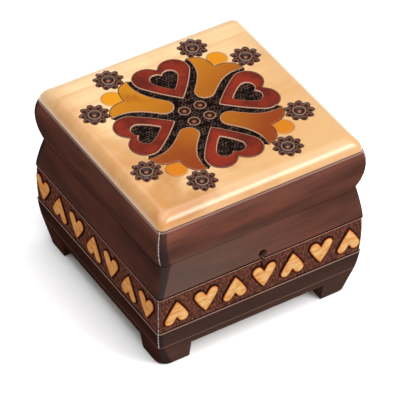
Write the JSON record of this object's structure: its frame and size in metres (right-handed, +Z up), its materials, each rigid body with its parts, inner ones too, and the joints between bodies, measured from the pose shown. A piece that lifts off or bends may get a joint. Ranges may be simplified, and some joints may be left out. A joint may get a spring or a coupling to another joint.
{
  "type": "heart keepsake box",
  "caption": "Small square wooden keepsake box with swelling sides, bracket feet, a band of carved hearts and a hinged lid carved with hearts and tulips.",
  "frame": {"origin": "on the floor, under the middle of the box", "axes": "+Z up, front of the box with the keyhole towards -Y, hinges on the +Y side"},
  "size_m": [0.1158, 0.1158, 0.0955],
  "materials": {
    "dark_wood": "dark brown stain under satin lacquer",
    "pale_wood": "natural pale wood under satin lacquer, carved, burnt and tinted",
    "brass": "aged, satin"
  },
  "bodies": {
    "box": {"wall_front": "dark_wood", "wall_right": "dark_wood", "wall_back": "dark_wood", "wall_left": "dark_wood", "bottom_board": "pale_wood", "hinge_left_lower_leaf": "brass", "hinge_right_lower_leaf": "brass", "hinge_left_pin": "brass", "hinge_right_pin": "brass", "lock_case": "brass"},
    "lid": {"lid_rail_front": "dark_wood", "lid_rail_right": "dark_wood", "lid_rail_back": "dark_wood", "lid_rail_left": "dark_wood", "lid_board": "pale_wood", "hinge_left_upper_leaf": "brass", "hinge_right_upper_leaf": "brass", "lid_catch": "brass"}
  },
  "joints": [
    {"name": "lid_hinge", "type": "hinge", "parent": "box", "child": "lid", "pos_m": [0, 0.0566, 0.0655], "axis": [-1, 0, 0], "range_deg": [0, 100]}
  ]
}
